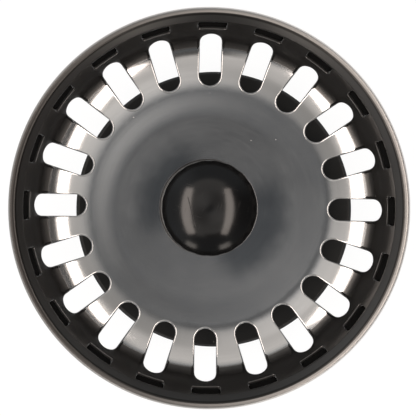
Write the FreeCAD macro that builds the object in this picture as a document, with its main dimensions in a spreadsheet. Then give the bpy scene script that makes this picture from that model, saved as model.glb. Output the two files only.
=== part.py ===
"""Sink strainer: a pressed steel basket with a push-pull plunger that closes it.

The basket hangs by its rim in the sink's waste. A knob, stem and rubber seal slide together
through a bush in the basket's floor: up is open, down presses the seal on the waste's seat.
Millimetres, +Z up. The origin is on the basket's axis, at the height of the raised seal's lip.
"""
import FreeCAD, Part
import math
import os
import re

import Sketcher

# Driving dimensions. Angles are in degrees, measured from the horizontal.
SIZES = {
    # Basket sheet
    "sheet_thickness": 0.8,
    "rim_radius": 41.5,
    "rim_width": 2.9,
    "rim_slope": 45,
    "rim_fold_inside": 0.1,
    "skirt_height": 3.0,
    "wall_height": 11.2,
    "wall_angle": 76,
    "corner_radius": 2,
    "dish_width": 10.0,
    "dish_angle": 36,
    # Holes in the basket
    "slot_count": 20,
    "slot_width": 4.6,
    "slot_inset": 1.0,
    "slot_climb": 0.72,
    "slot_end_radius": 3.5,
    "slot_corner_radius": 1.3,
    "window_width": 6.0,
    "window_height": 4.4,
    "window_drop": 0.5,
    # Gasket in the rim's channel
    "gasket_drop": 2.8,
    "gasket_inset": 0.7,
    "gasket_round": 0.6,
    "lug_recess": 0.35,
    "lug_gap": 0.15,
    "lug_root": 0.3,
    # Bush, its retaining ring and the friction ring
    "bush_flange_radius": 10.4,
    "bush_flange_thickness": 1.5,
    "bush_flange_round": 0.6,
    "bush_shank_radius": 6,
    "bush_tail": 4.2,
    "retainer_radius": 9.5,
    "retainer_band": 1.6,
    "retainer_thickness": 0.5,
    "retainer_drop": 0.6,
    "retainer_slits": 8,
    "retainer_slit_width": 0.9,
    "friction_wire_radius": 0.8,
    # Stem
    "stem_radius": 3,
    "stem_thread_radius": 2,
    "stem_chamfer": 0.4,
    "stem_proud": 0.3,
    "stem_end_gap": 0.6,
    # Knob and its insert
    "knob_radius": 10,
    "knob_dome_radius": 13,
    "knob_edge_radius": 1,
    "knob_belly": 3.6,
    "knob_tuck_radius": 6,
    "knob_wall": 1.8,
    "knob_cavity_depth": 4.6,
    "knob_boss_radius": 5,
    "knob_boss_recess": 0.8,
    "knob_ribs": 6,
    "knob_rib_width": 1.0,
    "knob_rib_recess": 1.5,
    "insert_radius": 3.3,
    "insert_length": 5.5,
    "insert_groove_depth": 0.35,
    "insert_groove_width": 1.4,
    # Seal and its clamping hardware
    "seal_radius": 30,
    "seal_web": 2.6,
    "seal_bead": 0.6,
    "seal_flank": 1.0,
    "seal_flank_height": 3.0,
    "seal_lip_land": 1.2,
    "seal_lip_root": 4.5,
    "seal_shift_x": 1.6,
    "seal_shift_y": -0.5,
    "seal_floor_gap": 0.5,
    "plate_radius": 14,
    "plate_thickness": 1.0,
    "plate_chamfer": 0.3,
    "washer_radius": 9,
    "washer_thickness": 0.8,
    "nut_flats": 7,
    "nut_height": 2.0,
    # Motion and fits
    "travel": 9,
    "stop_gap": 0.3,
    "slide_gap": 0.1,
    "fit_gap": 0.05,
}

# Places worked out from the driving dimensions. Names that end in _z are heights.
LAYOUT = {
    # Stack from the seal's lip up to the knob, plunger raised
    "stem_bottom_z": "seal_floor_gap",
    "nut_bottom_z": "stem_bottom_z + stem_proud",
    "washer_bottom_z": "nut_bottom_z + nut_height",
    "web_bottom_z": "washer_bottom_z + washer_thickness",
    "seal_top_z": "web_bottom_z + seal_web",
    "plate_top_z": "seal_top_z + plate_thickness",
    "bush_bottom_z": "plate_top_z + stop_gap",
    "floor_bottom_z": "bush_bottom_z + bush_tail",
    "floor_top_z": "floor_bottom_z + sheet_thickness",
    "bush_top_z": "floor_top_z + bush_flange_thickness",
    "knob_bottom_z": "bush_top_z + stop_gap + travel",
    # Basket section, from the rim inwards
    "crease_radius": "rim_radius - rim_width",
    "wall_foot_radius": "crease_radius - wall_height / tan(wall_angle)",
    "corner_start_radius": "wall_foot_radius - corner_radius * (sin(wall_angle) - sin(dish_angle))",
    "dish_start_radius": "corner_start_radius - dish_width",
    "dish_bend_radius": "dish_width / sin(dish_angle)",
    "corner_start_z": "floor_top_z + dish_bend_radius * (1 - cos(dish_angle))",
    "wall_foot_z": "corner_start_z + corner_radius * (cos(dish_angle) - cos(wall_angle))",
    "crease_z": "wall_foot_z + wall_height",
    "rim_fold_radius": "rim_fold_inside + sheet_thickness",
    "fold_start_radius": "rim_radius - rim_fold_radius * (1 + sin(rim_slope))",
    "fold_start_z": "crease_z + (fold_start_radius - crease_radius) * tan(rim_slope)",
    "fold_centre_radius": "rim_radius - rim_fold_radius",
    "fold_centre_z": "fold_start_z - rim_fold_radius * cos(rim_slope)",
    "skirt_bottom_z": "fold_centre_z - skirt_height",
    "skirt_inner_radius": "rim_radius - sheet_thickness",
    # Under side of the sheet
    "crease_share": "1 / (1 + cos(wall_angle - rim_slope))",
    "under_crease_radius":
        "crease_radius + sheet_thickness * crease_share * (sin(wall_angle) + sin(rim_slope))",
    "under_crease_z": "crease_z - sheet_thickness * crease_share * (cos(wall_angle) + cos(rim_slope))",
    # Slots and windows
    "slot_half": "slot_width / 2",
    "slot_inner_radius": "dish_start_radius + slot_inset",
    "slot_outer_radius": "wall_foot_radius + slot_climb",
    "slot_end_reach": "slot_end_radius - slot_corner_radius",
    "slot_corner_up": "slot_half - slot_corner_radius",
    "slot_corner_out": "sqrt(slot_end_reach^2 - slot_corner_up^2)",
    "slot_end_centre": "slot_outer_radius - slot_end_radius",
    "slot_side_end": "slot_end_centre + slot_corner_out",
    "slot_blend_out": "slot_end_centre + slot_corner_out * slot_end_radius / slot_end_reach",
    "slot_blend_up": "slot_corner_up * slot_end_radius / slot_end_reach",
    "window_top_z": "crease_z - window_drop",
    "window_bottom_z": "window_top_z - window_height",
    "window_reach": "(under_crease_radius + skirt_inner_radius) / 2",
    # Gasket, which follows the wall's outer side
    "wall_lean": "1 / tan(wall_angle)",
    "gasket_bottom_z": "skirt_bottom_z - gasket_drop",
    "gasket_top_z": "under_crease_z - fit_gap",
    "gasket_seat_offset": "(sheet_thickness + fit_gap) / sin(wall_angle)",
    "gasket_radius": "rim_radius - gasket_inset",
    "lug_bottom_z": "window_bottom_z + lug_gap",
    "lug_top_z": "window_top_z - lug_gap",
    # Bush and rings
    "bush_bore": "stem_radius + slide_gap",
    "floor_hole_radius": "bush_shank_radius + fit_gap",
    "friction_centre_radius": "stem_radius + fit_gap + friction_wire_radius",
    "friction_centre_z": "(bush_bottom_z + floor_bottom_z) / 2",
    "groove_radius": "friction_centre_radius + friction_wire_radius + fit_gap",
    "groove_half": "friction_wire_radius + fit_gap",
    "retainer_fold_radius": "retainer_radius - retainer_band",
    # Knob, insert and stem top
    "knob_base_radius": "knob_radius - knob_tuck_radius + sqrt(knob_tuck_radius^2 - knob_belly^2)",
    "knob_belly_z": "knob_bottom_z + knob_belly",
    "knob_edge_centre": "knob_radius - knob_edge_radius",
    "knob_dome_reach": "knob_dome_radius - knob_edge_radius",
    "knob_dome_drop": "sqrt(knob_dome_reach^2 - knob_edge_centre^2)",
    "knob_top_z": "knob_belly_z - knob_dome_drop + knob_dome_radius",
    "knob_blend_radius": "knob_edge_centre * knob_dome_radius / knob_dome_reach",
    "knob_blend_z": "knob_belly_z + knob_dome_drop * (knob_dome_radius / knob_dome_reach - 1)",
    "knob_cavity_radius": "knob_base_radius - knob_wall",
    "knob_cavity_z": "knob_bottom_z + knob_cavity_depth",
    "boss_bottom_z": "knob_bottom_z + knob_boss_recess",
    "insert_top_z": "boss_bottom_z + insert_length",
    "insert_middle_z": "(boss_bottom_z + insert_top_z) / 2",
    "insert_groove_half": "insert_groove_width / 2",
    "stem_top_z": "insert_top_z - stem_end_gap",
    "thread_hole_radius": "stem_thread_radius + fit_gap",
    # Seal
    "seal_bore": "stem_thread_radius + sqrt(seal_shift_x^2 + seal_shift_y^2) + stop_gap",
    "lip_outer_radius": "seal_radius - seal_flank",
    "lip_inner_radius": "lip_outer_radius - seal_lip_land",
    "lip_root_radius": "seal_radius - seal_lip_root",
}

LEFT = "left"
RIGHT = "right"

doc = FreeCAD.newDocument("SinkStrainer")


def bind(text):
    """Turns words for sizes and places into references to the two sheets."""
    def reference(match):
        word = match.group()
        if word in SIZES:
            return f"Sizes.{word}"
        if word in LAYOUT:
            return f"Layout.{word}"
        return word
    return re.sub(r"[A-Za-z_]+\w*", reference, text)


def fill_sheet(name, cells):
    """Writes one named value per row, with the name beside it."""
    sheet = doc.addObject("Spreadsheet::Sheet", name)
    for row, (alias, content) in enumerate(cells.items(), start=1):
        sheet.set(f"A{row}", alias)
        sheet.set(f"B{row}", content)
        sheet.setAlias(f"B{row}", alias)
    doc.recompute()
    return sheet


sizes = fill_sheet("Sizes", {alias: str(number) for alias, number in SIZES.items()})
fill_sheet("Layout", {alias: "=" + bind(text).replace("Layout.", "") for alias, text in LAYOUT.items()})


def value(text):
    """The number that an expression on the sheets has now."""
    return float(sizes.evalExpression(bind(text)))


def origin_feature(body, role):
    """One of a body's own origin planes or axes."""
    return next(feature for feature in body.Origin.OriginFeatures if feature.Role == role)


def pin(sketch, geometry, point, axis, text):
    """Ties one coordinate of a sketch point to an expression. Geometry -1 is the sketch's
    horizontal axis, which starts at its origin, and -2 its vertical axis."""
    if text == "0":
        axis_line = -2 if axis == "X" else -1
        sketch.addConstraint(Sketcher.Constraint("PointOnObject", geometry, point, axis_line))
        return
    number = value(text)
    ends = ((-1, 1), (geometry, point))
    length = bind(text)
    if number < 0:
        ends = ((geometry, point), (-1, 1))
        length = f"-({length})"
    index = sketch.addConstraint(Sketcher.Constraint(f"Distance{axis}", *ends[0], *ends[1], abs(number)))
    sketch.setExpression(f"Constraints[{index}]", length)


def arc_between(start, end, radius, turn):
    """The short arc from start to end that turns left or right."""
    chord = end - start
    to_left = FreeCAD.Vector(-chord.y, chord.x, 0).normalize()
    rise = math.sqrt(max(radius**2 - (chord.Length / 2) ** 2, 0))
    middle = (start + end) / 2
    centre = middle + to_left * rise if turn == LEFT else middle - to_left * rise
    first, last = (start, end) if turn == LEFT else (end, start)
    angles = [math.atan2(tip.y - centre.y, tip.x - centre.x) for tip in (first, last)]
    return Part.ArcOfCircle(Part.Circle(centre, FreeCAD.Vector(0, 0, 1), radius), *angles)


def draw(sketch, outline):
    """Draws a closed outline. Each corner is (across, up) or (across, up, radius, turn): the last
    two bend the edge that leads on to the next corner. All are expressions on the sheets."""
    places = [FreeCAD.Vector(value(corner[0]), value(corner[1]), 0) for corner in outline]
    starts, ends = [], []
    for number, corner in enumerate(outline):
        here, there = places[number], places[(number + 1) % len(outline)]
        if len(corner) == 2:
            edge = sketch.addGeometry(Part.LineSegment(here, there))
            points = (1, 2)
        else:
            radius, turn = corner[2:]
            edge = sketch.addGeometry(arc_between(here, there, value(radius), turn))
            points = (1, 2) if turn == LEFT else (2, 1)
        starts.append((edge, points[0]))
        ends.append((edge, points[1]))
    for number, corner in enumerate(outline):
        sketch.addConstraint(Sketcher.Constraint("Coincident", *ends[number - 1], *starts[number]))
        pin(sketch, *starts[number], "X", corner[0])
        pin(sketch, *starts[number], "Y", corner[1])
    for number, corner in enumerate(outline):
        if len(corner) > 2:
            edge = starts[number][0]
            index = sketch.addConstraint(Sketcher.Constraint("Radius", edge, value(corner[2])))
            sketch.setExpression(f"Constraints[{index}]", bind(corner[2]))


def add_sketch(body, name, role, outline):
    """A sketch of one closed outline on one of the body's origin planes."""
    sketch = body.newObject("Sketcher::SketchObject", name)
    sketch.AttachmentSupport = (origin_feature(body, role), [""])
    sketch.MapMode = "FlatFace"
    draw(sketch, outline)
    doc.recompute()
    return sketch


def turned(label, outline):
    """A body turned round Z from a section of (radius, height) corners."""
    body = doc.addObject("PartDesign::Body", label)
    section = add_sketch(body, f"{label}_section", "XZ_Plane", outline)
    revolution = body.newObject("PartDesign::Revolution", f"{label}_turn")
    revolution.Profile = section
    revolution.ReferenceAxis = (section, ["V_Axis"])
    revolution.Angle = 360
    doc.recompute()
    return body


def cut(body, name, role, outline, depth=None):
    """Cuts an outline along its plane's normal, right through or to a depth."""
    before = body.Shape.Volume
    pocket = body.newObject("PartDesign::Pocket", name)
    pocket.Profile = add_sketch(body, f"{name}_outline", role, outline)
    pocket.Reversed = True
    if depth is None:
        pocket.Type = "ThroughAll"
    else:
        pocket.setExpression("Length", bind(depth))
    doc.recompute()
    if body.Shape.Volume >= before:
        raise RuntimeError(f"{name} cuts nothing")
    return pocket


def plate_rib(body, name, outline, width):
    """Adds an upright plate, drawn in the XZ plane and as thick as width."""
    before = body.Shape.Volume
    pad = body.newObject("PartDesign::Pad", name)
    pad.Profile = add_sketch(body, f"{name}_outline", "XZ_Plane", outline)
    pad.SideType = "Symmetric"
    pad.setExpression("Length", bind(width))
    doc.recompute()
    if body.Shape.Volume <= before:
        raise RuntimeError(f"{name} adds nothing")
    return pad


def repeat(body, features, count):
    """Repeats features evenly round the Z axis."""
    pattern = body.newObject("PartDesign::PolarPattern", f"{features[0].Name}_ring")
    pattern.Originals = features
    pattern.Axis = (origin_feature(body, "Z_Axis"), [""])
    pattern.Angle = 360
    pattern.setExpression("Occurrences", bind(count))
    body.Tip = pattern
    doc.recompute()


def washer(label, radius, hole, bottom, thickness):
    """A flat ring made of two cylinders."""
    disc = doc.addObject("Part::Cylinder", f"{label}_disc")
    bore = doc.addObject("Part::Cylinder", f"{label}_bore")
    for cylinder, reach in ((disc, radius), (bore, hole)):
        cylinder.setExpression("Radius", bind(reach))
        cylinder.setExpression("Height", bind(thickness))
        cylinder.setExpression("Placement.Base.z", bind(bottom))
    ring = doc.addObject("Part::Cut", label)
    ring.Base = disc
    ring.Tool = bore
    return ring


def wall_at(height, offset):
    """Radius of the basket's inner wall at a height, moved out by an offset."""
    return f"wall_foot_radius + ({height} - wall_foot_z) * wall_lean + {offset}"


def make_basket():
    basket = turned("basket", [
        ("floor_hole_radius", "floor_top_z"),
        ("dish_start_radius", "floor_top_z", "dish_bend_radius", LEFT),
        ("corner_start_radius", "corner_start_z", "corner_radius", LEFT),
        ("wall_foot_radius", "wall_foot_z"),
        ("crease_radius", "crease_z"),
        ("fold_start_radius", "fold_start_z", "rim_fold_radius", RIGHT),
        ("rim_radius", "fold_centre_z"),
        ("rim_radius", "skirt_bottom_z"),
        ("skirt_inner_radius", "skirt_bottom_z"),
        ("skirt_inner_radius", "fold_centre_z", "rim_fold_inside", LEFT),
        ("fold_centre_radius - rim_fold_inside * sin(rim_slope)",
         "fold_centre_z + rim_fold_inside * cos(rim_slope)"),
        ("under_crease_radius", "under_crease_z"),
        ("wall_foot_radius + sheet_thickness * sin(wall_angle)",
         "wall_foot_z - sheet_thickness * cos(wall_angle)", "corner_radius + sheet_thickness", RIGHT),
        ("corner_start_radius + sheet_thickness * sin(dish_angle)",
         "corner_start_z - sheet_thickness * cos(dish_angle)", "dish_bend_radius + sheet_thickness", RIGHT),
        ("dish_start_radius", "floor_bottom_z"),
        ("floor_hole_radius", "floor_bottom_z"),
    ])
    slot = cut(basket, "slot", "XY_Plane", [
        ("slot_inner_radius + slot_half", "-slot_half"),
        ("slot_side_end", "-slot_half", "slot_corner_radius", LEFT),
        ("slot_blend_out", "-slot_blend_up", "slot_end_radius", LEFT),
        ("slot_blend_out", "slot_blend_up", "slot_corner_radius", LEFT),
        ("slot_side_end", "slot_half"),
        ("slot_inner_radius + slot_half", "slot_half", "slot_half", LEFT),
        ("slot_inner_radius", "0", "slot_half", LEFT),
    ])
    window = cut(basket, "window", "YZ_Plane", [
        ("-window_width / 2", "window_bottom_z"),
        ("window_width / 2", "window_bottom_z"),
        ("window_width / 2", "window_top_z"),
        ("-window_width / 2", "window_top_z"),
    ], "window_reach")
    repeat(basket, [slot, window], "slot_count")
    return basket


def make_rim_gasket():
    """Rubber ring in the rim's channel. Its lugs stand in the windows and hold it there."""
    gasket = turned("rim_gasket", [
        (wall_at("gasket_bottom_z", "gasket_seat_offset"), "gasket_bottom_z"),
        ("gasket_radius - gasket_round", "gasket_bottom_z", "gasket_round", LEFT),
        ("gasket_radius", "gasket_bottom_z + gasket_round"),
        ("gasket_radius", "skirt_bottom_z"),
        ("skirt_inner_radius - fit_gap", "skirt_bottom_z"),
        ("skirt_inner_radius - fit_gap", "gasket_top_z"),
        (wall_at("gasket_top_z", "gasket_seat_offset"), "gasket_top_z"),
    ])
    lug = plate_rib(gasket, "lug", [
        (wall_at("lug_bottom_z", "lug_recess"), "lug_bottom_z"),
        (wall_at("lug_bottom_z", "gasket_seat_offset + lug_root"), "lug_bottom_z"),
        (wall_at("lug_top_z", "gasket_seat_offset + lug_root"), "lug_top_z"),
        (wall_at("lug_top_z", "lug_recess"), "lug_top_z"),
    ], "window_width - 2 * lug_gap")
    repeat(gasket, [lug], "slot_count")
    return gasket


def make_guide_bush():
    return turned("guide_bush", [
        ("bush_bore", "bush_bottom_z"),
        ("bush_shank_radius", "bush_bottom_z"),
        ("bush_shank_radius", "floor_top_z"),
        ("bush_flange_radius", "floor_top_z"),
        ("bush_flange_radius", "bush_top_z - bush_flange_round", "bush_flange_round", LEFT),
        ("bush_flange_radius - bush_flange_round", "bush_top_z"),
        ("bush_bore", "bush_top_z"),
        ("bush_bore", "friction_centre_z + groove_half"),
        ("groove_radius", "friction_centre_z + groove_half"),
        ("groove_radius", "friction_centre_z - groove_half"),
        ("bush_bore", "friction_centre_z - groove_half"),
    ])


def make_retaining_ring():
    """Push-on ring: a flat band under the floor and sprung tongues that grip the bush."""
    ring = turned("retaining_ring", [
        ("floor_hole_radius", "floor_bottom_z - retainer_drop"),
        ("floor_hole_radius", "floor_bottom_z - retainer_drop - retainer_thickness"),
        ("retainer_fold_radius", "floor_bottom_z - retainer_thickness"),
        ("retainer_radius", "floor_bottom_z - retainer_thickness"),
        ("retainer_radius", "floor_bottom_z"),
        ("retainer_fold_radius", "floor_bottom_z"),
    ])
    slit = cut(ring, "slit", "XY_Plane", [
        ("bush_shank_radius - slide_gap", "-retainer_slit_width / 2"),
        ("retainer_fold_radius", "-retainer_slit_width / 2"),
        ("retainer_fold_radius", "retainer_slit_width / 2"),
        ("bush_shank_radius - slide_gap", "retainer_slit_width / 2"),
    ])
    repeat(ring, [slit], "retainer_slits")
    return ring


def make_friction_ring():
    ring = doc.addObject("Part::Torus", "friction_ring")
    ring.setExpression("Radius1", bind("friction_centre_radius"))
    ring.setExpression("Radius2", bind("friction_wire_radius"))
    ring.setExpression("Placement.Base.z", bind("friction_centre_z"))
    return ring


def make_stem():
    return turned("stem", [
        ("0", "stem_bottom_z"),
        ("stem_thread_radius - stem_chamfer", "stem_bottom_z"),
        ("stem_thread_radius", "stem_bottom_z + stem_chamfer"),
        ("stem_thread_radius", "plate_top_z"),
        ("stem_radius", "plate_top_z"),
        ("stem_radius", "boss_bottom_z"),
        ("stem_thread_radius", "boss_bottom_z"),
        ("stem_thread_radius", "stem_top_z - stem_chamfer"),
        ("stem_thread_radius - stem_chamfer", "stem_top_z"),
        ("0", "stem_top_z"),
    ])


def make_knob():
    """Moulded dome, hollow below, with a boss for the insert and ribs round it."""
    knob = turned("knob", [
        ("0", "insert_top_z + fit_gap"),
        ("insert_radius + fit_gap", "insert_top_z + fit_gap"),
        ("insert_radius + fit_gap", "boss_bottom_z"),
        ("knob_boss_radius", "boss_bottom_z"),
        ("knob_boss_radius", "knob_cavity_z"),
        ("knob_cavity_radius", "knob_cavity_z"),
        ("knob_cavity_radius", "knob_bottom_z"),
        ("knob_base_radius", "knob_bottom_z", "knob_tuck_radius", LEFT),
        ("knob_radius", "knob_belly_z", "knob_edge_radius", LEFT),
        ("knob_blend_radius", "knob_blend_z", "knob_dome_radius", LEFT),
        ("0", "knob_top_z"),
    ])
    rib = plate_rib(knob, "rib", [
        ("knob_boss_radius - knob_rib_width", "knob_bottom_z + knob_rib_recess"),
        ("knob_cavity_radius + knob_wall / 2", "knob_bottom_z + knob_rib_recess"),
        ("knob_cavity_radius + knob_wall / 2", "knob_cavity_z"),
        ("knob_boss_radius - knob_rib_width", "knob_cavity_z"),
    ], "knob_rib_width")
    repeat(knob, [rib], "knob_ribs")
    return knob


def make_knob_insert():
    return turned("knob_insert", [
        ("thread_hole_radius", "boss_bottom_z"),
        ("insert_radius", "boss_bottom_z"),
        ("insert_radius", "insert_middle_z - insert_groove_half"),
        ("insert_radius - insert_groove_depth", "insert_middle_z - insert_groove_half"),
        ("insert_radius - insert_groove_depth", "insert_middle_z + insert_groove_half"),
        ("insert_radius", "insert_middle_z + insert_groove_half"),
        ("insert_radius", "insert_top_z"),
        ("thread_hole_radius", "insert_top_z"),
    ])


def make_seal():
    """Rubber disc with a tapered lip. Its hole is wide, so it sits off centre between its plates."""
    seal = turned("seal", [
        ("seal_bore", "web_bottom_z"),
        ("lip_root_radius", "web_bottom_z"),
        ("lip_inner_radius", "0"),
        ("lip_outer_radius", "0"),
        ("seal_radius", "seal_flank_height"),
        ("seal_radius", "seal_top_z - seal_bead"),
        ("seal_radius - seal_bead", "seal_top_z"),
        ("seal_bore", "seal_top_z"),
    ])
    seal.setExpression("Placement.Base.x", bind("seal_shift_x"))
    seal.setExpression("Placement.Base.y", bind("seal_shift_y"))
    return seal


def make_seal_plate():
    return turned("seal_plate", [
        ("thread_hole_radius", "seal_top_z"),
        ("plate_radius", "seal_top_z"),
        ("plate_radius", "plate_top_z - plate_chamfer"),
        ("plate_radius - plate_chamfer", "plate_top_z"),
        ("thread_hole_radius", "plate_top_z"),
    ])


def make_clamp_washer():
    return washer("clamp_washer", "washer_radius", "thread_hole_radius",
                  "washer_bottom_z", "washer_thickness")


def make_lock_nut():
    """Hexagon nut, chamfered on its lower face by a cone."""
    prism = doc.addObject("Part::Prism", "nut_hexagon")
    prism.Polygon = 6
    prism.setExpression("Circumradius", bind("nut_flats / sqrt(3)"))
    cone = doc.addObject("Part::Cone", "nut_chamfer")
    cone.setExpression("Radius1", bind("nut_flats / 2"))
    cone.setExpression("Radius2", bind("nut_flats / 2 + nut_height * sqrt(3)"))
    blank = doc.addObject("Part::MultiCommon", "nut_blank")
    blank.Shapes = [prism, cone]
    bore = doc.addObject("Part::Cylinder", "nut_bore")
    bore.setExpression("Radius", bind("thread_hole_radius"))
    for solid in (prism, cone, bore):
        solid.setExpression("Height", bind("nut_height"))
        solid.setExpression("Placement.Base.z", bind("nut_bottom_z"))
    nut = doc.addObject("Part::Cut", "lock_nut")
    nut.Base = blank
    nut.Tool = bore
    return nut


pieces = [
    make_basket(),
    make_rim_gasket(),
    make_guide_bush(),
    make_retaining_ring(),
    make_friction_ring(),
    make_stem(),
    make_knob(),
    make_knob_insert(),
    make_seal(),
    make_seal_plate(),
    make_clamp_washer(),
    make_lock_nut(),
]
doc.recompute()

for item in doc.Objects:
    if "Invalid" in item.State or "Error" in item.State:
        raise RuntimeError(f"{item.Label} failed: {item.State}")
for piece in pieces:
    if piece.Shape.isNull() or not piece.Shape.isValid() or len(piece.Shape.Solids) != 1:
        raise RuntimeError(f"{piece.Label} is not one valid solid")

os.makedirs("parts", exist_ok=True)
for piece in pieces:
    piece.Shape.exportStep(f"parts/{piece.Label}.step")
    print(f"{piece.Label}: {piece.Shape.Volume:.1f} mm3, {len(piece.Shape.Faces)} faces")
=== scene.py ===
import math

import bmesh
import bpy
from mathutils import Matrix, Quaternion, Vector


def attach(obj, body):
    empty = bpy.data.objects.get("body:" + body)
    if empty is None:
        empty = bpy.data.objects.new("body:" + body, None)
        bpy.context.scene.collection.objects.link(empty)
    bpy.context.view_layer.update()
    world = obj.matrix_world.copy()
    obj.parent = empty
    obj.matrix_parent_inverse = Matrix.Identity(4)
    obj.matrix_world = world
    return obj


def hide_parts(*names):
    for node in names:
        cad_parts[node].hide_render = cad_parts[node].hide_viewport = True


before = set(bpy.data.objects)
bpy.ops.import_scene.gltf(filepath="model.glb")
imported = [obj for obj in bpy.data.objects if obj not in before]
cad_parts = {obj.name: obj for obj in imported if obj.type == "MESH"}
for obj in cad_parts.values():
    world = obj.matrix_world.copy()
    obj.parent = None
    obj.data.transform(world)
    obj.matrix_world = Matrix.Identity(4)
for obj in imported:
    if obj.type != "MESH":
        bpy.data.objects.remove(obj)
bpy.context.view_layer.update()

# Looks of a sink strainer: a pressed steel basket with a push-pull plunger.
# Metres, in the frame of the solids: +Z up, the origin on the axis at the height of the seal's lip.

MM = 0.001
bpy.ops.object.select_all(action="DESELECT")

# Pressed sheet of the basket
SHEET = 0.8 * MM
FLOOR_HOLE_RADIUS = 6.05 * MM
FLOOR_TOP = 12.5 * MM
FLOOR_FLAT = 18.9925 * MM
DISH_RADIUS, DISH_ANGLE = 17.013 * MM, math.radians(36)
CORNER_RADIUS, WALL_ANGLE = 2 * MM, math.radians(76)
WALL_LENGTH = 11.543 * MM
CREASE_RADIUS, RIM_SLOPE = 0.5 * MM, math.radians(45)
RIM_LENGTH = 1.928 * MM
FOLD_RADIUS = 0.9 * MM
SKIRT_HEIGHT = 3.0 * MM
EDGE_ROUND = 0.34 * MM

# The dish is pressed up a little round the floor, most towards one side. The rise grows between two
# radii and fades between two heights, in the wall below the windows.
RISE, RISE_UNEVEN = 0.22 * MM, 0.14 * MM
RISE_TOWARDS = (-1.3, 0.8)
RISE_RADII = (19 * MM, 27 * MM)
RISE_FADE_HEIGHTS = (19.6 * MM, 23 * MM)

# Holes in the sheet
SECTORS = 20
SECTOR_ANGLE = 2 * math.pi / SECTORS
SLOT_INNER, SLOT_OUTER = 26.043 * MM, 36.527 * MM
SLOT_HALF = 2.3 * MM
SLOT_END_RADIUS, SLOT_CORNER_RADIUS = 3.5 * MM, 1.3 * MM
WINDOW_HALF = 3.0 * MM
WINDOW_BOTTOM, WINDOW_TOP = 23.183 * MM, 27.583 * MM
WINDOW_CORNER_RADIUS = 0.5 * MM

# Heights of the other pieces
GASKET_BOTTOM, SKIRT_BOTTOM, GASKET_TOP = 23.011 * MM, 25.811 * MM, 27.605 * MM
BUSH_BOTTOM, BUSH_TOP = 7.5 * MM, 14.0 * MM
FRICTION_HEIGHT = 9.6 * MM
SEAL_SHIFT = Vector((1.6, -0.5, 0)) * MM

# Vertices closer than this are welded
WELD = 0.002 * MM


class Section:
    """The line of the sheet's upper side, from the floor's hole to the skirt's lower edge, drawn as
    straight runs and bends. Places on it are given by the distance along it."""

    def __init__(self, radius, height):
        self.radius, self.height, self.heading, self.length = radius, height, 0.0, 0.0
        self.runs = []

    def run(self, length, curvature=0.0):
        self.runs.append((self.length, self.radius, self.height, self.heading, curvature))
        end = self.length + length
        self.radius, self.height = self.place(end)
        self.heading += length * curvature
        self.length = end
        return end

    def bend(self, radius, angle):
        return self.run(radius * abs(angle), math.copysign(1 / radius, angle))

    def place(self, distance):
        """Radius and height at a distance along the line."""
        start, radius, height, heading, curvature = next(
            run for run in reversed(self.runs) if run[0] <= distance or run is self.runs[0])
        step = distance - start
        if curvature == 0:
            return radius + step * math.cos(heading), height + step * math.sin(heading)
        turned = heading + step * curvature
        return (radius + (math.sin(turned) - math.sin(heading)) / curvature,
                height - (math.cos(turned) - math.cos(heading)) / curvature)

    def reach(self, value, axis, low, high):
        """The distance at which the radius (axis 0) or height (axis 1) passes a value."""
        for _ in range(40):
            middle = (low + high) / 2
            if self.place(middle)[axis] < value:
                low = middle
            else:
                high = middle
        return (low + high) / 2

    def point(self, angle, distance):
        radius, height = self.place(distance)
        return Vector((radius * math.cos(angle), radius * math.sin(angle), height))


def mm(*corners):
    """Points in metres from points in millimetres."""
    return [tuple(number * MM for number in corner) for corner in corners]


def arc(centre, radius, start, end, steps=12):
    """Points on an arc, with its angles in degrees."""
    angles = [math.radians(start + (end - start) * step / steps) for step in range(steps + 1)]
    return [(centre[0] + radius * math.cos(a), centre[1] + radius * math.sin(a)) for a in angles]


def spread(chain, count):
    """Evenly spaced points along a chain of points, without the last one."""
    lengths = [math.dist(a, b) for a, b in zip(chain, chain[1:])]
    total = sum(lengths)
    points, link, done = [], 0, 0.0
    for step in range(count):
        target = total * step / count
        while link < len(lengths) - 1 and done + lengths[link] < target:
            done += lengths[link]
            link += 1
        share = (target - done) / lengths[link]
        (a, b), (c, d) = chain[link], chain[link + 1]
        points.append((a + (c - a) * share, b + (d - b) * share))
    return points


def even(start, end, count):
    """Evenly spaced numbers from start to end."""
    return [start + (end - start) * step / count for step in range(count + 1)]


def rows_to(start, *stops):
    """Numbers from start through stops, each given with the count of steps to it."""
    rows = [start]
    for stop, count in stops:
        rows += even(rows[-1], stop, count)[1:]
    return rows


def four_sides(chains, across, along):
    """Points on the four sides of a hole or a sector, as many on one side as on the side that faces it."""
    return [point for chain, count in zip(chains, (across, along) * 2) for point in spread(chain, count)]


def lay_grid(rows):
    """A grid primitive with its vertices laid on rows of points."""
    columns, last = len(rows[0]) - 1, len(rows) - 1
    bpy.ops.mesh.primitive_grid_add(x_subdivisions=columns, y_subdivisions=last, size=2)
    patch = bpy.context.object
    for vertex in patch.data.vertices:
        across = round((vertex.co.x + 1) / 2 * columns)
        along = round((vertex.co.y + 1) / 2 * last)
        vertex.co = rows[along][across]
    return patch


def apply_modifier(piece, kind, **settings):
    """Adds a modifier, sets it and applies it."""
    modifier = piece.modifiers.new(kind.lower(), kind)
    for name, setting in settings.items():
        setattr(modifier, name, setting)
    bpy.context.view_layer.objects.active = piece
    bpy.ops.object.modifier_apply(modifier=modifier.name)


def join(pieces, name):
    """Makes pieces into one and names it."""
    bpy.ops.object.select_all(action="DESELECT")
    for piece in pieces:
        piece.select_set(True)
    bpy.context.view_layer.objects.active = pieces[0]
    if len(pieces) > 1:
        bpy.ops.object.join()
    pieces[0].name = name
    pieces[0].data.name = name
    return pieces[0]


def ring_of_copies(count):
    """Copies what is selected in edit mode evenly round the axis."""
    steps = count - 1
    angle = 2 * math.pi / count * steps
    bpy.ops.mesh.spin(steps=steps, dupli=True, angle=angle, center=(0, 0, 0), axis=(0, 0, 1))


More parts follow.
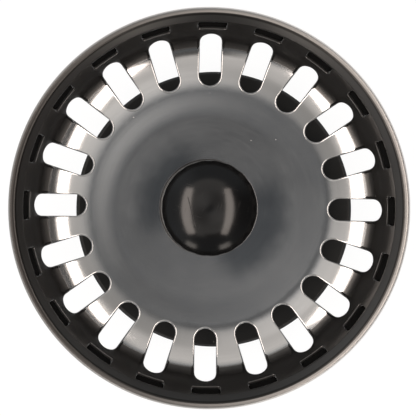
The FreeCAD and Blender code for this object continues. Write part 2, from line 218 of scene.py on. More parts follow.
def ring_of_pieces(piece, count):
    """Copies a whole piece evenly round the axis."""
    bpy.context.view_layer.objects.active = piece
    bpy.ops.object.mode_set(mode="EDIT")
    bpy.ops.mesh.select_all(action="SELECT")
    ring_of_copies(count)
    bpy.ops.object.mode_set(mode="OBJECT")


def weld():
    """Joins the vertices that meet, in edit mode."""
    bpy.ops.mesh.select_all(action="SELECT")
    bpy.ops.mesh.remove_doubles(threshold=WELD)


def fit(piece, body, node, finish):
    """Lets a piece ride on its body in place of its solid, with its finish."""
    piece.data.materials.clear()
    piece.data.materials.append(finish)
    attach(piece, body)
    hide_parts(node)


def collar(hole, border, rings, near):
    """Rows of points from a hole's edge out to a border. The first row keeps close to the edge."""
    rows = [hole]
    for ring in range(rings):
        row = []
        for (angle, distance), (far_angle, far_distance) in zip(hole, border):
            radius = sheet.place(distance)[0]
            gap = math.hypot((far_angle - angle) * radius, far_distance - distance)
            share = near / gap + (1 - near / gap) * ring / (rings - 1)
            row.append((angle + (far_angle - angle) * share, distance + (far_distance - distance) * share))
        rows.append(row)
    return [[sheet.point(*place) for place in row + row[:1]] for row in rows]


def border_of(start, end, across, along):
    """Four sides of one sector between two distances, in the order of a hole's four sides."""
    half = SECTOR_ANGLE / 2
    corners = [(half, start), (-half, start), (-half, end), (half, end), (half, start)]
    return four_sides(zip(corners, corners[1:]), across, along)


def slot_edge(across, along):
    """The slot's outline as (angle, distance): inner end, side, outer end, side."""
    middle = (SLOT_INNER + SLOT_HALF, 0)
    end_middle = (SLOT_OUTER - SLOT_END_RADIUS, 0)
    corner_up = SLOT_HALF - SLOT_CORNER_RADIUS
    blend = math.asin(corner_up / (SLOT_END_RADIUS - SLOT_CORNER_RADIUS))
    corner = end_middle[0] + (SLOT_END_RADIUS - SLOT_CORNER_RADIUS) * math.cos(blend)
    blend = math.degrees(blend)
    split = (90 + blend) / 2
    lower, upper = (corner, -corner_up), (corner, corner_up)
    chains = [
        arc(middle, SLOT_HALF, 120, 240, 24),
        arc(middle, SLOT_HALF, 240, 270) + arc(lower, SLOT_CORNER_RADIUS, -90, -split),
        arc(lower, SLOT_CORNER_RADIUS, -split, -blend) + arc(end_middle, SLOT_END_RADIUS, -blend, blend)[1:]
        + arc(upper, SLOT_CORNER_RADIUS, blend, split)[1:],
        arc(upper, SLOT_CORNER_RADIUS, split, 90) + arc(middle, SLOT_HALF, 90, 120),
    ]
    return [(math.atan2(y, x), sheet.reach(math.hypot(x, y), 0, 0, crease_start))
            for x, y in four_sides(chains, across, along)]


def window_edge(across, along):
    """The window's outline as (angle, distance), in the same order."""
    bend, steps = WINDOW_CORNER_RADIUS, 6
    side, low, high = WINDOW_HALF - bend, WINDOW_BOTTOM + bend, WINDOW_TOP - bend
    chains = [
        arc((side, low), bend, -45, -90, steps) + arc((-side, low), bend, 270, 225, steps),
        arc((-side, low), bend, 225, 180, steps) + arc((-side, high), bend, 180, 135, steps),
        arc((-side, high), bend, 135, 90, steps) + arc((side, high), bend, 90, 45, steps),
        arc((side, high), bend, 45, 0, steps) + arc((side, low), bend, 0, -45, steps),
    ]
    edge = []
    for lateral, height in four_sides(chains, across, along):
        distance = sheet.reach(height, 1, wall_start, crease_start)
        edge.append((math.asin(lateral / sheet.place(distance)[0]), distance))
    return edge


sheet = Section(FLOOR_HOLE_RADIUS, FLOOR_TOP)
crease_cut = CREASE_RADIUS * math.tan((WALL_ANGLE - RIM_SLOPE) / 2)
sheet.run(FLOOR_FLAT)
sheet.bend(DISH_RADIUS, DISH_ANGLE)
wall_start = sheet.bend(CORNER_RADIUS, WALL_ANGLE - DISH_ANGLE)
crease_start = sheet.run(WALL_LENGTH - crease_cut)
slope_start = sheet.bend(CREASE_RADIUS, RIM_SLOPE - WALL_ANGLE)
fold_start = sheet.run(RIM_LENGTH - crease_cut)
skirt_start = sheet.bend(FOLD_RADIUS, -RIM_SLOPE - math.pi / 2)
skirt_end = sheet.run(SKIRT_HEIGHT)


def weigh_edges(shell):
    """Marks the sheet's sharp edges for rounding, those of the windows for less of it."""
    sharp, window_share = math.radians(60), 0.35
    window_bottom, window_radius = WINDOW_BOTTOM - 0.3 * MM, 39.7 * MM
    mesh = bmesh.new()
    mesh.from_mesh(shell.data)
    weight = mesh.edges.layers.float.new("bevel_weight_edge")
    for edge in mesh.edges:
        if edge.calc_face_angle(0) > sharp:
            middle = (edge.verts[0].co + edge.verts[1].co) / 2
            window = middle.z > window_bottom and math.hypot(middle.x, middle.y) < window_radius
            edge[weight] = window_share if window else 1
    mesh.to_mesh(shell.data)
    mesh.free()


def smooth_step(value, low, high):
    """0 below low, 1 above high and smooth between them."""
    share = min(max((value - low) / (high - low), 0.0), 1.0)
    return share * share * (3 - 2 * share)


def full_rise(x, y, radius):
    """How far the dish is pressed up where the rise is full."""
    return RISE + (x * RISE_TOWARDS[0] + y * RISE_TOWARDS[1]) / radius * RISE_UNEVEN


def rise_at(place):
    """How far a point of the sheet is pressed up."""
    radius = math.hypot(place.x, place.y)
    share = smooth_step(radius, *RISE_RADII) * (1 - smooth_step(place.z, *RISE_FADE_HEIGHTS))
    return full_rise(place.x, place.y, radius) * share


def hole_patch(edge, start, end, across, along, rings, near):
    """One sector of the sheet between two distances, with a hole in it."""
    return lay_grid(collar(edge(across, along), border_of(start, end, across, along), rings, near))


def press_basket():
    """One sector of the sheet, copied round and given its thickness and rounded edges."""
    across, slot_margin, window_margin = 16, 1.5 * MM, 0.75 * MM
    rise_start = RISE_RADII[0] - FLOOR_HOLE_RADIUS
    slot_start = sheet.reach(SLOT_INNER - slot_margin, 0, 0, wall_start)
    window_start = sheet.reach(WINDOW_BOTTOM - window_margin, 1, wall_start, crease_start)
    angles = even(SECTOR_ANGLE / 2, -SECTOR_ANGLE / 2, across)
    floor_rows = rows_to(0, (rise_start, 5), (slot_start, 11))
    rim_rows = rows_to(crease_start, (slope_start, 5), (fold_start, 4), (skirt_start, 16), (skirt_end, 5))
    patches = [lay_grid([[sheet.point(angle, row) for angle in angles] for row in rows])
               for rows in (floor_rows, rim_rows)]
    patches.append(hole_patch(
        slot_edge, slot_start, window_start, across, along=24, rings=9, near=0.5 * MM))
    patches.append(hole_patch(
        window_edge, window_start, crease_start, across, along=8, rings=5, near=0.3 * MM))
    basket = join(patches, "pressed_basket")
    bpy.ops.object.mode_set(mode="EDIT")
    weld()
    ring_of_copies(SECTORS)
    weld()
    bpy.ops.mesh.normals_make_consistent(inside=False)
    bpy.ops.object.mode_set(mode="OBJECT")
    lowest = min(basket.data.polygons, key=lambda face: face.center.z)
    if lowest.normal.z < 0:
        basket.data.flip_normals()
    apply_modifier(basket, "SOLIDIFY", thickness=SHEET, offset=-1, use_even_offset=True)
    weigh_edges(basket)
    apply_modifier(basket, "BEVEL", limit_method="WEIGHT", width=EDGE_ROUND, segments=4,
                   use_clamp_overlap=False)
    for vertex in basket.data.vertices:
        vertex.co.z += rise_at(vertex.co)
    bpy.ops.object.shade_smooth()
    return basket


basket = press_basket()


class Wire:
    """One value in a finish. Arithmetic on it adds Math nodes."""

    def __init__(self, finish, socket):
        self.finish, self.socket = finish, socket

    def math(self, operation, *values):
        return self.finish.node("ShaderNodeMath", {"operation": operation}, dict(enumerate(values)))

    def larger(self, other):
        return self.math("MAXIMUM", self, other)

    def size(self):
        return self.math("ABSOLUTE", self)

    def __add__(self, other):
        return self.math("ADD", self, other)

    def __sub__(self, other):
        return self.math("SUBTRACT", self, other)

    def __rsub__(self, other):
        return self.math("SUBTRACT", other, self)

    def __mul__(self, other):
        return self.math("MULTIPLY", self, other)

    def __truediv__(self, other):
        return self.math("DIVIDE", self, other)

    def __pow__(self, other):
        return self.math("POWER", self, other)

    def __lt__(self, other):
        return self.math("LESS_THAN", self, other)

    __radd__ = __add__
    __rmul__ = __mul__


class Finish:
    """A procedural material, or the world's shader, put together from nodes."""

    def __init__(self, holder):
        holder.use_nodes = True
        self.holder, self.tree = holder, holder.node_tree
        self.tree.nodes.clear()

    def node(self, kind, settings=None, sockets=None, output=0):
        """Adds a node: its settings first, then the values or wires of its sockets."""
        made = self.tree.nodes.new(kind)
        for name, setting in (settings or {}).items():
            if name == "stops":
                ramp = made.color_ramp.elements
                while len(ramp) < len(setting):
                    ramp.new(1)
                for element, (position, tone) in zip(ramp, setting):
                    element.position, element.color = position, tone
            else:
                setattr(made, name, setting)
        for name, content in (sockets or {}).items():
            if isinstance(content, Wire):
                self.tree.links.new(content.socket, made.inputs[name])
            else:
                made.inputs[name].default_value = content
        return Wire(self, made.outputs[output]) if made.outputs else None

    def place(self, kind="Object"):
        """Coordinates of a kind as x, y and z."""
        where = self.node("ShaderNodeTexCoord", output=kind)
        apart = self.node("ShaderNodeSeparateXYZ", sockets={0: where})
        outputs = apart.socket.node.outputs
        return [Wire(self, outputs[axis]) for axis in "XYZ"]

    def vector(self, x, y, z):
        return self.node("ShaderNodeCombineXYZ", sockets={0: x, 1: y, 2: z})

    def noise(self, vector, detail=2.0):
        return self.node("ShaderNodeTexNoise", sockets={"Vector": vector, "Scale": 1.0, "Detail": detail})

    def clouds(self, x, y, z, size, detail=2.0):
        """Noise with patches of one size."""
        return self.noise(self.vector(x / size, y / size, z / size), detail)

    def cells(self, vector, output="Distance"):
        return self.node("ShaderNodeTexVoronoi", sockets={"Vector": vector, "Scale": 1.0}, output=output)

    def step(self, value, low, high):
        """0 below low, 1 above high and smooth between them."""
        return self.node("ShaderNodeMapRange", {"interpolation_type": "SMOOTHSTEP"}, {
            "Value": value, "From Min": low, "From Max": high})

    def blend(self, share, first, second):
        """A colour between two colours."""
        return self.node("ShaderNodeMix", {"data_type": "RGBA"}, {
            "Factor": share, 6: first, 7: second}, output=2)

    def bump(self, height):
        """A normal from a height in metres."""
        return self.node("ShaderNodeBump", sockets={"Strength": 1.0, "Distance": 1.0, "Height": height})

    def surface(self, **sockets):
        """Ends the finish in a Principled shader. Socket names have _ for a space."""
        names = {name.replace("_", " "): content for name, content in sockets.items()}
        shader = self.node("ShaderNodeBsdfPrincipled", sockets=names)
        self.node("ShaderNodeOutputMaterial", sockets={"Surface": shader})
        return self.holder


def colour(red, green, blue):
    return (red, green, blue, 1.0)


def grey(level):
    return colour(level, level, level)


def scaled(tone, factor):
    """A tone made paler or darker."""
    return colour(*(channel * factor for channel in tone[:3]))


DUST_TONE, RUBBER_DUST_TONE = colour(0.4, 0.39, 0.38), colour(0.3, 0.29, 0.28)

# Zones of the basket where light and shade are painted into its colour. A smooth step goes from 0 at the
# first number to 1 at the second.
# What lies behind the wall's inner side is told by the radius that the wall's slant has at height 0.
WALL_LEAN = 1 / math.tan(WALL_ANGLE)
BEHIND_WALL = (31.64 * MM, 31.7 * MM)
WALL_HEIGHTS = (14.95 * MM, 15.3 * MM)
RIM_HEIGHTS, LIP_HEIGHTS = (28 * MM, 28.2 * MM), (28.7 * MM, 29.1 * MM)
GROOVE_RADII, FOLD_RADII = (39.7 * MM, 39.95 * MM), (40.25 * MM, 40.45 * MM)
SKIRT_RADII, EDGE_RADII = (40.65 * MM, 40.75 * MM), (40.95 * MM, 41.2 * MM)
WINDOW_CUT_HEIGHTS = (WINDOW_BOTTOM - 0.3 * MM, WINDOW_BOTTOM)
SLOT_CUT_HEIGHTS, SLOT_CUT_SLOPES = (15 * MM, 15.5 * MM), (0.4, 0.75)
KNOB_SHADOW_RADII, KNOB_SHADOW_AXIS, KNOB_SHADOW_SIDES = (11.5 * MM, 18 * MM), math.radians(-25), (-0.7, 0.4)
# The rim's painted tones grow brighter towards the right, along this direction.
BRIGHT_TOWARDS, BRIGHT_SIDES = (0.9, 0.1), (-0.95, 0.6)

# Tones of those zones: painted shade, painted highlights and the knob's painted shadow. The fold and its
# outer edge have one for the shaded left side and one for the lit right side.
WALL_SHADE, GROOVE_SHADE = colour(0.12, 0.117, 0.114), colour(0.05, 0.048, 0.046)
FOLD_LIGHT_AND_SHADE = colour(0.045, 0.042, 0.04), colour(0.4, 0.387, 0.375)
EDGE_HIGHLIGHTS = colour(0.33, 0.32, 0.31), colour(0.75, 0.73, 0.71)
WINDOW_CUT_SHADE, SLOT_CUT_SHADE = colour(0.2, 0.195, 0.19), colour(0.09, 0.088, 0.086)
KNOB_SHADOW_TONE = colour(0.27, 0.285, 0.3)


def specks(finish, x, y, z, size, spacing, share):
    """Dots of dust: some of the cells of a scattered pattern hold one."""
    where = finish.vector(x / spacing, y / spacing, z / spacing)
    chance = finish.node("ShaderNodeSeparateColor", sockets={0: finish.cells(where, "Color")})
    return (1 - finish.step(finish.cells(where), size / 2 / spacing, size / spacing)) * (chance < share)


def scratches(finish, x, y, z, angle, length, width, share):
    """Hairlines that run at one angle in plan."""
    fade = 0.05
    c, s = math.cos(math.radians(angle)), math.sin(math.radians(angle))
    along, aside = x * c + y * s, y * c - x * s
    lines = finish.noise(finish.vector(along / length, aside / width, z / length), 1.0)
    return finish.step(lines, share, share + fade)


def knob_shadow_patch(finish, x, y, radius, cloud):
    """Painted shadow of the knob on the floor round it: a ragged dark patch along one axis, longer at the
    right.
    """
    ragged, longer = 3 * MM, 2.2 * MM
    reach = radius + (cloud - 0.5) * ragged - finish.step(x / radius, 0.1, 0.8) * longer
    twice = 2 * KNOB_SHADOW_AXIS
    side = ((x * x - y * y) * math.cos(twice) + x * y * (2 * math.sin(twice))) / (radius * radius)
    return (1 - finish.step(reach, *KNOB_SHADOW_RADII)) * finish.step(side, *KNOB_SHADOW_SIDES)


def paint_basket_light_and_shade(finish, x, y, z, radius, cloud, shade, gloss):
    """Painted light and shade in the sheet's zones: painted shade on the wall, the rim, the rim's groove
    and the faces cut through the sheet, a fold painted lit at the right and shaded at the left, a painted
    highlight on the rim's outer edge, and the knob's painted shadow on the floor."""
    inside = 1 - finish.step(radius, *SKIRT_RADII)
    rim = finish.step(z, *RIM_HEIGHTS) * inside
    behind = finish.step(radius - z * WALL_LEAN, *BEHIND_WALL)
    level = z - finish.step(radius, *RISE_RADII) * full_rise(x, y, radius)
    wall = finish.step(level, *WALL_HEIGHTS) * (1 - behind).larger(rim)
    lip = finish.step(z, *LIP_HEIGHTS)
    groove, fold, edge = (finish.step(radius, *radii) * lip
                          for radii in (GROOVE_RADII, FOLD_RADII, EDGE_RADII))
    window_cut = finish.step(z, *WINDOW_CUT_HEIGHTS) * behind * (1 - rim) * inside
    facing_up = finish.place("Normal")[2].size()
    slot_cut = (1 - finish.step(facing_up, *SLOT_CUT_SLOPES)) * (1 - finish.step(z, *SLOT_CUT_HEIGHTS))
    # Painted lit side of the rim: 0 at the left, 1 at the right.
    towards = (x * BRIGHT_TOWARDS[0] + y * BRIGHT_TOWARDS[1]) / radius
    bright_side = finish.step(towards, *BRIGHT_SIDES)
    for share, tone in (
            # painted shade on the wall's inner side and on the rim
            (wall, WALL_SHADE),
            # painted shade where the rim's slope turns into the fold
            (groove, GROOVE_SHADE),
            # painted shade on the fold's left side and a painted highlight on its right side
            (fold, finish.blend(bright_side, *FOLD_LIGHT_AND_SHADE)),
            # painted highlight on the rim's outer edge, brighter at the right
            (edge, finish.blend(bright_side, *EDGE_HIGHLIGHTS)),
            # painted shade on the faces cut round the windows
            (window_cut, WINDOW_CUT_SHADE),
            # painted shade on the slots' cut faces
            (slot_cut, SLOT_CUT_SHADE),
            # painted shadow of the knob on the floor
            (knob_shadow_patch(finish, x, y, radius, cloud), KNOB_SHADOW_TONE)):
        shade = finish.blend(share, shade, tone)
    return shade, gloss + 0.22 * wall + 0.28 * fold + 0.25 * window_cut + 0.2 * slot_cut


def polished_steel(name, tone, roughness, brushing, drawn=False):
    """Sheet or bar polished round the axis, with hairlines and dust. Brushing is the grain's depth."""
    finish = Finish(bpy.data.materials.new(name))
    x, y, z = finish.place()
    axis_guard = 1e-9
    radius = (x * x + y * y + axis_guard) ** 0.5

    def grain(turns, width, detail):
        where = finish.vector(x / radius * turns, y / radius * turns, (radius + z) / width)
        return finish.noise(where, detail)

    fine, broad = grain(5, 0.11 * MM, 3.0), grain(2.5, 0.7 * MM, 2.0)
    cloud = finish.clouds(x, y, z, 5 * MM)
    hair = (scratches(finish, x, y, z, angle=25, length=7 * MM, width=0.05 * MM, share=0.74)
            + scratches(finish, x, y, z, angle=118, length=6 * MM, width=0.04 * MM, share=0.75))
    dust = specks(finish, x, y, z, size=0.13 * MM, spacing=1.8 * MM, share=0.06)
    height = (fine * brushing + broad * (brushing * 1.6) + cloud * (10 * brushing)
              - hair * (0.5 * brushing) + dust * (0.02 * MM))
    shade = finish.blend(broad * 0.6 + cloud * 0.4, tone, scaled(tone, 0.86))
    shade = finish.blend(dust, shade, DUST_TONE)
    gloss = roughness + (fine - 0.5) * 0.06 + (broad - 0.5) * 0.04 + (cloud - 0.5) * 0.05 + hair * 0.04
    # The basket's sheet also gets painted light and shade in its zones.
    if drawn:
        shade, gloss = paint_basket_light_and_shade(finish, x, y, z, radius, cloud, shade, gloss)
    return finish.surface(Base_Color=shade, Metallic=1 - dust, Roughness=gloss + dust * 0.5,
                          Normal=finish.bump(height))


def moulded_rubber(name, tone, roughness, gleam):
    """Black rubber with a fine grain, a bloom of paler patches and a little dust."""
    finish = Finish(bpy.data.materials.new(name))
    x, y, z = finish.place()
    grain, bloom = finish.clouds(x, y, z, 0.12 * MM), finish.clouds(x, y, z, 4 * MM, detail=3.0)
    dust = specks(finish, x, y, z, size=0.12 * MM, spacing=2.0 * MM, share=0.04)
    shade = finish.blend(finish.step(bloom, 0.35, 0.75), tone, scaled(tone, 1.7))
    shade = finish.blend(dust * 0.7, shade, RUBBER_DUST_TONE)
    height = grain * (0.002 * MM) + dust * (0.02 * MM)
    return finish.surface(Base_Color=shade, Roughness=roughness + bloom * 0.18 + grain * 0.06,
                          Specular_IOR_Level=gleam, Normal=finish.bump(height))


def nick(finish, x, y, start, end, width):
    """One straight scratch between two places in plan."""
    length = math.dist(start, end)
    c, s = (end[0] - start[0]) / length, (end[1] - start[1]) / length
    from_x, from_y = x - start[0], y - start[1]
    along, aside = from_x * c + from_y * s, from_y * c - from_x * s
    ends = finish.step(along, 0, length * 0.1) * (1 - finish.step(along, length * 0.7, length))
    return (1 - finish.step(aside.size(), width * 0.4, width)) * ends


def moulded_plastic(name, tone, roughness, gleam, scar=None):
    """Black plastic with a faint flow pattern, hairlines and dust, and one deeper scratch as a scar."""
    finish = Finish(bpy.data.materials.new(name))
    x, y, z = finish.place()
    flow = finish.noise(finish.vector(x / (3 * MM), y / (6 * MM), z / (3 * MM)))
    skin = finish.clouds(x, y, z, 0.25 * MM)
    hair = (scratches(finish, x, y, z, angle=72, length=5 * MM, width=0.09 * MM, share=0.73)
            + scratches(finish, x, y, z, angle=-20, length=4 * MM, width=0.08 * MM, share=0.74))
    if scar:
        hair = hair + 3 * nick(finish, x, y, *scar, width=0.09 * MM)
    dust = specks(finish, x, y, z, size=0.14 * MM, spacing=2.4 * MM, share=0.05)
    shade = finish.blend(flow, tone, scaled(tone, 1.25))
    shade = finish.blend(dust * 0.8, shade, DUST_TONE)
    gloss = roughness + (flow - 0.5) * 0.05 + hair * 0.15 + dust * 0.4
    height = flow * (0.0015 * MM) + skin * (0.0003 * MM) - hair * (0.002 * MM) + dust * (0.03 * MM)
    return finish.surface(Base_Color=shade, Roughness=gloss, Specular_IOR_Level=gleam,
                          Normal=finish.bump(height))


basket_steel = polished_steel("satin_basket_steel", grey(0.62), 0.13, 0.0006 * MM, drawn=True)
bar_steel = polished_steel("turned_bar_steel", colour(0.6, 0.6, 0.61), 0.25, 0.0012 * MM)
spring_steel = polished_steel("dull_spring_steel", colour(0.42, 0.42, 0.43), 0.38, 0.0012 * MM)
brass = polished_steel("turned_brass", colour(0.72, 0.52, 0.22), 0.3, 0.0012 * MM)
gasket_rubber = moulded_rubber("matt_gasket_rubber", grey(0.003), 0.8, 0.05)
seal_rubber = moulded_rubber("satin_seal_rubber", colour(0.005, 0.0049, 0.0048), 0.25, 0.3)
knob_plastic = moulded_plastic("glossy_knob_plastic", colour(0.004, 0.004, 0.0042), 0.16, 0.43,
                               scar=mm((-4.7, 2.6), (-2.8, -4.3)))
bush_plastic = moulded_plastic("satin_bush_plastic", colour(0.022, 0.022, 0.023), 0.35, 0.5)

fit(basket, "basket", "basket", basket_steel)


def rounded(corners, closed, steps=5):
    """A profile of (radius, height) corners, each with a rounding radius where a third number gives one."""
    points = []
    for number, corner in enumerate(corners):
        here = Vector(corner[:2])
        if len(corner) < 3:
            points.append(here)
            continue
        bend = corner[2]
        before = (Vector(corners[number - 1][:2]) - here).normalized()
        after = (Vector(corners[(number + 1) % len(corners)][:2]) - here).normalized()
        half = before.angle(after) / 2
        start, end = here + before * bend / math.tan(half), here + after * bend / math.tan(half)
        middle = here + (before + after).normalized() * bend / math.sin(half)
        for step in range(steps + 1):
            spoke = (start - middle).normalized().slerp((end - middle).normalized(), step / steps)
            points.append(middle + spoke * bend)
    return points + points[:1] if closed else points


def lathe(name, points, steps=128, centre=Vector((0, 0, 0))):
    """Draws a profile by extruding one vertex from point to point, then spins it round an upright axis."""
    smooth_angle = math.radians(40)
    places = [centre + Vector((radius, 0, height)) for radius, height in points]
    bpy.ops.object.select_all(action="DESELECT")
    bpy.ops.mesh.primitive_plane_add(size=MM)
    piece = bpy.context.object
    bpy.ops.object.mode_set(mode="EDIT")
    bpy.ops.mesh.merge(type="CENTER")
    bpy.ops.transform.translate(value=places[0])
    for before, after in zip(places, places[1:]):
        bpy.ops.mesh.extrude_region_move(TRANSFORM_OT_translate={"value": after - before})
    bpy.ops.mesh.select_all(action="SELECT")
    bpy.ops.mesh.spin(steps=steps, angle=2 * math.pi, center=centre, axis=(0, 0, 1))
    weld()
    bpy.ops.mesh.normals_make_consistent(inside=False)
    bpy.ops.object.mode_set(mode="OBJECT")
    bpy.ops.object.shade_smooth_by_angle(angle=smooth_angle)
    return join([piece], name)


def wall_radius(height):
    """Radius of the wall's inner side at a height."""
    return sheet.place(sheet.reach(height, 1, wall_start, crease_start))[0]


def mould_block(corners, edge):
    """A cube primitive with its corners moved to eight places and its edges rounded."""
    bpy.ops.object.select_all(action="DESELECT")
    bpy.ops.mesh.primitive_cube_add(size=2)
    block = bpy.context.object
    for vertex in block.data.vertices:
        vertex.co = corners[tuple(number > 0 for number in vertex.co)]
    block.data.update()
    apply_modifier(block, "BEVEL", width=edge, segments=3)
    bpy.ops.object.shade_smooth()
    return block


def block_corners(place):
    """The corners of a block, from a function of three choices of side."""
    sides = (False, True)
    return {(x, y, z): Vector(place(x, y, z)) for x in sides for y in sides for z in sides}


def mould_gasket():
    """The rubber ring in the rim's channel, and the lugs that stand in the windows."""
    seat, outer, neck = 0.85 * MM, 40.8 * MM, 40.65 * MM
    ring = lathe("moulded_gasket", rounded([
        (wall_radius(GASKET_BOTTOM) + seat, GASKET_BOTTOM, 0.04 * MM),
        (outer, GASKET_BOTTOM, 0.6 * MM),
        (outer, SKIRT_BOTTOM, 0.07 * MM),
        (neck, SKIRT_BOTTOM, 0.05 * MM),
        (neck, GASKET_TOP, 0.2 * MM),
        (wall_radius(GASKET_TOP) + seat, GASKET_TOP, 0.2 * MM),
    ], closed=True), steps=160)
    half, low, high = WINDOW_HALF - 0.03 * MM, WINDOW_BOTTOM + 0.15 * MM, WINDOW_TOP - 0.15 * MM
    front, back = 0.38 * MM, 1.2 * MM

    def lug_corner(is_back, is_left, is_upper):
        height = high if is_upper else low
        return wall_radius(height) + (back if is_back else front), half if is_left else -half, height

    lug = mould_block(block_corners(lug_corner), 0.25 * MM)
    ring_of_pieces(lug, SECTORS)
    return join([ring, lug], "moulded_gasket")


fit(mould_gasket(), "basket", "rim_gasket", gasket_rubber)

BUSH_BORE, BUSH_SHANK, BUSH_FLANGE = 3.1 * MM, 6.0 * MM, 10.4 * MM
GROOVE_RADIUS, GROOVE_HALF = 4.7 * MM, 0.85 * MM
bush = lathe("moulded_bush", rounded([
    (BUSH_BORE, BUSH_BOTTOM, 0.2 * MM),
    (BUSH_SHANK, BUSH_BOTTOM, 0.4 * MM),
    (BUSH_SHANK, FLOOR_TOP),
    (BUSH_FLANGE, FLOOR_TOP, 0.1 * MM),
    (BUSH_FLANGE, BUSH_TOP, 0.6 * MM),
    (BUSH_BORE, BUSH_TOP, 0.3 * MM),
    (BUSH_BORE, FRICTION_HEIGHT + GROOVE_HALF),
    (GROOVE_RADIUS, FRICTION_HEIGHT + GROOVE_HALF),
    (GROOVE_RADIUS, FRICTION_HEIGHT - GROOVE_HALF),
    (BUSH_BORE, FRICTION_HEIGHT - GROOVE_HALF),
], closed=True))
fit(bush, "basket", "guide_bush", bush_plastic)

# Radius, height and rounding in millimetres, from the bore's lower edge round the cup and lip
SEAL_PROFILE = mm(
    (3.98, 3.6, 0.15),
    (25.5, 3.6, 0.8),
    (27.8, 0, 0.25),
    (29.0, 0, 0.35),
    (30.0, 3.0, 0.5),
    (30.0, 5.6, 0.12),
    (29.4, 6.2, 0.45),
    (3.98, 6.2, 0.15),
)
seal = lathe("moulded_seal", rounded(SEAL_PROFILE, closed=True), steps=160, centre=SEAL_SHIFT)
fit(seal, "plunger", "seal", seal_rubber)


def mould_knob():
    """A domed shell with a boss and ribs inside it. Its sizes are in millimetres."""
    bottom, belly, roof = 23.3, 26.9, 29.65
    dome_centre, dome_radius, shoulder_angle = 18.962, 13, 41.41
    brim_centre, brim_round = 9, 1
    tuck_centre, tuck_radius, tuck_angle = 4, 6, -33
    lip_centre, lip_round = 8.35, 0.4
    shell_inside, boss, bore = 7.0, 5.0, 3.35
    ceiling, boss_bottom = 27.9, 24.1
    dome = (arc((0, dome_centre), dome_radius, 90, shoulder_angle, 32)
            + arc((brim_centre, belly), brim_round, shoulder_angle, 0, 10)[1:])
    tuck = arc((tuck_centre, belly), tuck_radius, 0, tuck_angle, 14)
    lip = arc((lip_centre, bottom + lip_round), lip_round, tuck_angle, -90, 6)
    inside = [tuple(point) for point in rounded([
        (8.8, bottom), (shell_inside, bottom, 0.3), (shell_inside, ceiling, 0.5), (boss, ceiling, 0.5),
        (boss, boss_bottom, 0.2), (bore, boss_bottom, 0.1), (bore, roof), (0, roof),
    ], closed=False)]
    shell = lathe("domed_knob", mm(*dome, *tuck[1:], *lip, *inside[1:]))

    def rib_corner(is_outer, is_left, is_upper):
        return Vector((4.7 + 2.6 * is_outer, -0.5 + is_left, 24.8 + 3.2 * is_upper)) * MM

    rib = mould_block(block_corners(rib_corner), 0.15 * MM)
    ring_of_pieces(rib, count=6)
    return join([shell, rib], "domed_knob")


fit(mould_knob(), "plunger", "knob", knob_plastic)

for node, finish in (("retaining_ring", spring_steel), ("friction_ring", seal_rubber), ("stem", bar_steel),
                     ("knob_insert", brass), ("seal_plate", bar_steel), ("clamp_washer", bar_steel),
                     ("lock_nut", bar_steel)):
    for material_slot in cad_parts[node].material_slots:
        material_slot.material = finish


def lay_floor():
    """A white table that fades to grey far from the strainer. The camera and reflections see it glow.
    To other light it is matt."""
    bpy.ops.object.select_all(action="DESELECT")
    height, fade_start, fade_end = -0.02 * MM, 0.25, 0.8
    bpy.ops.mesh.primitive_circle_add(vertices=96, radius=3, fill_type="NGON", location=(0, 0, height))
    floor = bpy.context.object
    floor.name = "white_table"
    finish = Finish(bpy.data.materials.new("white_table_top"))
    x, y, _ = finish.place()
    near = 1 - finish.step((x * x + y * y) ** 0.5, fade_start, fade_end)
    ray = finish.node("ShaderNodeLightPath", output="Is Camera Ray")
    outputs = ray.socket.node.outputs
    seen = ray + Wire(finish, outputs["Is Glossy Ray"]) + Wire(finish, outputs["Is Transmission Ray"])
    glow = finish.node("ShaderNodeEmission", sockets={"Strength": near * 0.8 + 0.12})
    faint = finish.node("ShaderNodeBsdfDiffuse", sockets={"Color": grey(0.1)})
    matt = finish.node("ShaderNodeBsdfDiffuse", sockets={"Color": grey(0.75)})
    white = finish.node("ShaderNodeAddShader", sockets={0: glow, 1: faint})
    top = finish.node("ShaderNodeMixShader", sockets={0: seen, 1: matt, 2: white})
    finish.node("ShaderNodeOutputMaterial", sockets={"Surface": top})
    floor.data.materials.append(finish.holder)


def turned_back(back):
    """The turn that points local Z back from the subject and keeps local Y along the table's Y."""
    across = Vector((0, 1, 0)).cross(back).normalized()
    return Matrix((across, back.normalized().cross(across), back.normalized())).transposed().to_quaternion()


def hang_softbox(name, direction, width, power):
    """A strip of soft light that faces the strainer, with its length along Y."""
    distance, length, tint = 0.75, 1.27, (1.0, 0.88, 0.8)
    lamp = bpy.data.lights.new(name, "AREA")
    lamp.shape, lamp.size, lamp.size_y = "RECTANGLE", width, length
    lamp.energy, lamp.color = power, tint
    box = bpy.data.objects.new(name, lamp)
    box.location = direction.normalized() * distance
    box.rotation_mode = "QUATERNION"
    box.rotation_quaternion = turned_back(direction)
    box.visible_camera = False
    bpy.context.scene.collection.objects.link(box)


# Tones of the room's ceiling by height, from the walls to straight overhead
CEILING = [
    (0.5, colour(0.83, 0.785, 0.74)),
    (0.86, colour(0.61, 0.58, 0.55)),
    (0.978, colour(0.57, 0.545, 0.52)),
    (0.9903, colour(0.48, 0.465, 0.45)),
    (0.9954, colour(0.27, 0.268, 0.266)),
    (0.9981, colour(0.14, 0.141, 0.144)),
    (1.0, colour(0.115, 0.117, 0.121)),
]
WALL_PAINT, PANEL_LIGHT = colour(0.95, 1, 1.04), colour(2.6, 2.4, 2.2)


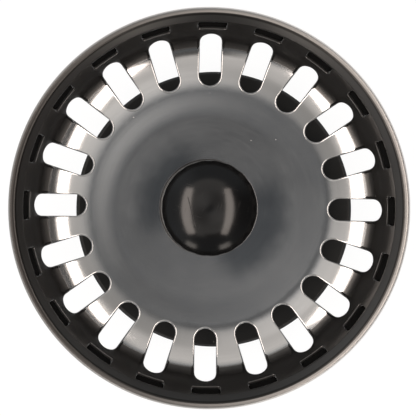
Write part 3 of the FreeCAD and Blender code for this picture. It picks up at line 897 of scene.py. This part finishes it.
def room_ceiling(finish, across, along, up, flat):
    """A pale ceiling with a dark spot nearly overhead, brighter in two corners and dark at one side."""
    ramp = finish.node("ShaderNodeValToRGB", {"stops": CEILING}, {0: up + across * 0.028 - along * 0.014})
    corner = across * along / (flat * flat) * finish.step(up, 0.8, 0.9)
    cast = finish.blend(corner + 0.5, grey(1.5), grey(0.65))
    side = finish.step((across * 0.924 - along * 0.383) / flat, 0.1, 0.4)
    cast = finish.blend(side * (1 - finish.step(up, 0.62, 0.68)), cast, grey(0.12))
    return finish.node("ShaderNodeMix", {"data_type": "RGBA", "blend_type": "MULTIPLY"},
                       {"Factor": 1.0, 6: ramp, 7: cast}, output=2)


def room_walls(finish, across, along, up, flat):
    """Dim walls, palest at the left, with two low lit panels at the front."""
    left, back, front = (finish.step(way, 0.2, 0.8) for way in (across * -1, along, along * -1))
    paint = finish.blend(0.05 + 0.25 * left + 0.2 * back + 0.08 * front, grey(0), WALL_PAINT)
    aside = across.size() / flat
    beam = finish.step(aside, 0.26, 0.32) * (1 - finish.step(aside, 0.5, 0.56)) * (along < 0)
    panel = beam * finish.step(up, 0.0, 0.03) * (1 - finish.step(up, 0.2, 0.25))
    return finish.blend(panel, paint, PANEL_LIGHT)


def light_room():
    """A dim room round the table."""
    world = bpy.data.worlds.new("dim_room")
    bpy.context.scene.world = world
    finish = Finish(world)
    across, along, up = finish.place("Generated")
    zenith_guard = 1e-5
    flat = (across * across + along * along + zenith_guard) ** 0.5
    walls = room_walls(finish, across, along, up, flat)
    ceiling = room_ceiling(finish, across, along, up, flat)
    room = finish.blend(finish.step(up, 0.5, 0.62), walls, ceiling)
    back = finish.node("ShaderNodeBackground", sockets={"Color": room, "Strength": 1.0})
    finish.node("ShaderNodeOutputWorld", sockets={"Surface": back})


def set_camera():
    """Straight above the strainer, a little to the upper left, as in the photograph."""
    rim = Vector((0, 0, 29.5)) * MM
    stand, aim_shift = Vector((-12, 5, 400)) * MM, Vector((-0.4, 0.07, 0)) * MM
    roll, lens = math.radians(1), 168.2
    camera = bpy.data.objects.new("camera", bpy.data.cameras.new("camera"))
    camera.location = rim + stand
    camera.rotation_mode = "QUATERNION"
    camera.rotation_quaternion = turned_back(stand - aim_shift) @ Quaternion((0, 0, 1), roll)
    camera.data.lens = lens
    camera.data.clip_start, camera.data.clip_end = 0.01, 20
    bpy.context.scene.collection.objects.link(camera)
    bpy.context.scene.camera = camera


lay_floor()
light_room()
hang_softbox("left_softbox", Vector((-0.669, -0.1, 0.743)), width=0.238, power=4.3)
hang_softbox("right_softbox", Vector((0.606, -0.1, 0.796)), width=0.2, power=3.6)
set_camera()
bpy.context.scene.view_settings.view_transform = "Standard"
